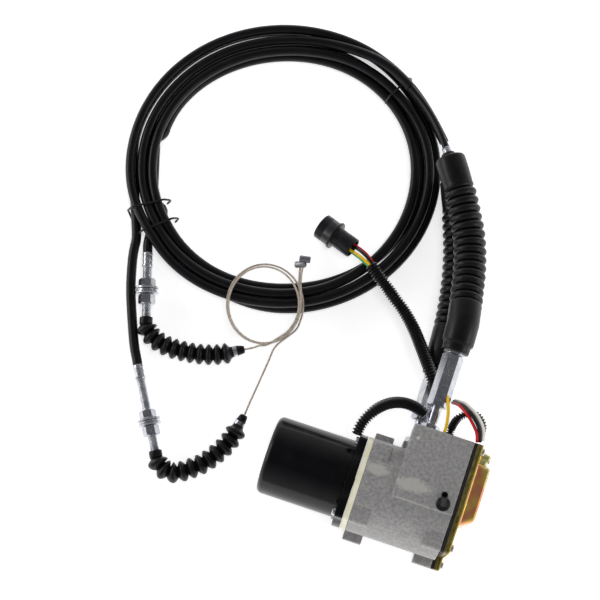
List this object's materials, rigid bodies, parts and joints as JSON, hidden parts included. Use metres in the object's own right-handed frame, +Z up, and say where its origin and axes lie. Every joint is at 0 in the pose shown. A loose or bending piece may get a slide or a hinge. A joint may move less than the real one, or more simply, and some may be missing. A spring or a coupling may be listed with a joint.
{
  "type": "engine governor actuator",
  "caption": "Geared motor actuator that pulls two throttle cables through hex couplings and bellows boots, with a cable coil, threaded cable ends and a wiring harness.",
  "frame": {"origin": "under the motor axis, in the middle of the motor-end foot's underside, on the surface that the actuator lies on", "axes": "+X along the motor axis from the can towards the pressed sensor cover, +Y towards the cable outlets, +Z up"},
  "size_m": [0.4621, 0.5068, 0.1173],
  "materials": {
    "black_enamel": "gloss",
    "black_plastic": "satin",
    "black_rubber": "matte",
    "gasket": "matte",
    "cream": "satin",
    "cast_aluminium": "cast",
    "zinc": "bright zinc",
    "zinc_yellow": "yellow zinc",
    "steel": "ground",
    "gear_steel": "cut",
    "bronze": "sintered",
    "ferrite": "matte",
    "rope": "stranded",
    "wires": "satin"
  },
  "bodies": {
    "actuator": {"motor_can": "black_enamel", "ring_magnet": "ferrite", "rear_bush": "bronze", "front_bearing": "steel", "brush_plate": "black_plastic", "motor_end_plate": "black_enamel", "spacer_ring": "cream", "gear_housing": "cast_aluminium", "ring_gear": "gear_steel", "output_bush": "bronze", "position_sensor": "black_plastic", "end_gasket": "gasket", "end_plate": "zinc", "sensor_cover": "zinc_yellow", "vent_plug": "black_rubber", "outlet_stub_upper": "zinc", "outlet_stub_lower": "zinc", "hex_coupling_upper": "zinc", "hex_coupling_lower": "zinc", "boot_upper": "black_rubber", "boot_lower": "black_rubber", "ferrule_upper": "zinc", "ferrule_lower": "zinc", "cable_lead_upper": "black_plastic", "cable_lead_lower": "black_plastic", "cable_coil": "black_plastic", "coil_tie_left": "black_plastic", "coil_tie_right": "black_plastic", "cable_tail": "black_plastic", "cable_end_a": "zinc", "cable_end_b": "zinc", "end_boot_a": "black_rubber", "end_boot_b": "black_rubber", "rope_a": "rope", "rope_b": "rope", "rope_coil": "rope", "rope_nipple_a": "zinc", "rope_nipple_b": "zinc", "connector": "black_plastic", "connector_wires": "wires", "harness_conduit": "black_plastic", "motor_conduit": "black_plastic", "sensor_conduit": "black_plastic", "sensor_wires": "wires", "yellow_wire": "wires"},
    "rotor": {"rotor_shaft": "steel", "armature_core": "gear_steel"},
    "first_carrier": {"first_carrier": "steel"},
    "first_planet_a": {"first_planet_a": "gear_steel"},
    "first_planet_b": {"first_planet_b": "gear_steel"},
    "first_planet_c": {"first_planet_c": "gear_steel"},
    "output": {"output_carrier": "steel", "cable_drum": "steel"},
    "second_planet_a": {"second_planet_a": "gear_steel"},
    "second_planet_b": {"second_planet_b": "gear_steel"},
    "second_planet_c": {"second_planet_c": "gear_steel"},
    "sensor_spindle": {"sensor_spindle": "steel"},
    "inner_wire_upper": {"inner_wire_upper": "rope"},
    "inner_wire_lower": {"inner_wire_lower": "rope"}
  },
  "joints": [
    {"name": "rotor_spin", "type": "hinge", "parent": "actuator", "child": "rotor", "pos_m": [0, 0, 0.052], "axis": [1, 0, 0], "range_deg": [-880, 880]},
    {"name": "first_carrier_spin", "type": "hinge", "parent": "actuator", "child": "first_carrier", "pos_m": [0, 0, 0.052], "axis": [1, 0, 0], "range_deg": [-220, 220]},
    {"name": "first_planet_a_spin", "type": "hinge", "parent": "first_carrier", "child": "first_planet_a", "pos_m": [0, 0, 0.073], "axis": [1, 0, 0], "range_deg": [-660, 660]},
    {"name": "first_planet_b_spin", "type": "hinge", "parent": "first_carrier", "child": "first_planet_b", "pos_m": [0, -0.01819, 0.0415], "axis": [1, 0, 0], "range_deg": [-660, 660]},
    {"name": "first_planet_c_spin", "type": "hinge", "parent": "first_carrier", "child": "first_planet_c", "pos_m": [0, 0.01819, 0.0415], "axis": [1, 0, 0], "range_deg": [-660, 660]},
    {"name": "output_spin", "type": "hinge", "parent": "actuator", "child": "output", "pos_m": [0, 0, 0.052], "axis": [1, 0, 0], "range_deg": [-55, 55]},
    {"name": "second_planet_a_spin", "type": "hinge", "parent": "output", "child": "second_planet_a", "pos_m": [0, 0, 0.073], "axis": [1, 0, 0], "range_deg": [-165, 165]},
    {"name": "second_planet_b_spin", "type": "hinge", "parent": "output", "child": "second_planet_b", "pos_m": [0, -0.01819, 0.0415], "axis": [1, 0, 0], "range_deg": [-165, 165]},
    {"name": "second_planet_c_spin", "type": "hinge", "parent": "output", "child": "second_planet_c", "pos_m": [0, 0.01819, 0.0415], "axis": [1, 0, 0], "range_deg": [-165, 165]},
    {"name": "sensor_spin", "type": "hinge", "parent": "actuator", "child": "sensor_spindle", "pos_m": [0, 0.022, 0.052], "axis": [1, 0, 0], "range_deg": [-55, 55]},
    {"name": "upper_wire_slide", "type": "slide", "parent": "actuator", "child": "inner_wire_upper", "axis": [0, 1, 0], "range_m": [-0.0207, 0.0207]},
    {"name": "lower_wire_slide", "type": "slide", "parent": "actuator", "child": "inner_wire_lower", "axis": [0, 1, 0], "range_m": [-0.0207, 0.0207]}
  ],
  "couplings": [
    {"joint": "first_carrier_spin", "follows": "rotor_spin", "ratio": 0.25},
    {"joint": "output_spin", "follows": "rotor_spin", "ratio": 0.0625},
    {"joint": "sensor_spin", "follows": "rotor_spin", "ratio": -0.0625},
    {"joint": "upper_wire_slide", "follows": "rotor_spin", "m_per_rad": -0.0013437},
    {"joint": "lower_wire_slide", "follows": "rotor_spin", "m_per_rad": 0.0013437},
    {"joint": "first_planet_a_spin", "follows": "rotor_spin", "ratio": -0.75},
    {"joint": "second_planet_a_spin", "follows": "rotor_spin", "ratio": -0.1875},
    {"joint": "first_planet_b_spin", "follows": "rotor_spin", "ratio": -0.75},
    {"joint": "second_planet_b_spin", "follows": "rotor_spin", "ratio": -0.1875},
    {"joint": "first_planet_c_spin", "follows": "rotor_spin", "ratio": -0.75},
    {"joint": "second_planet_c_spin", "follows": "rotor_spin", "ratio": -0.1875}
  ]
}
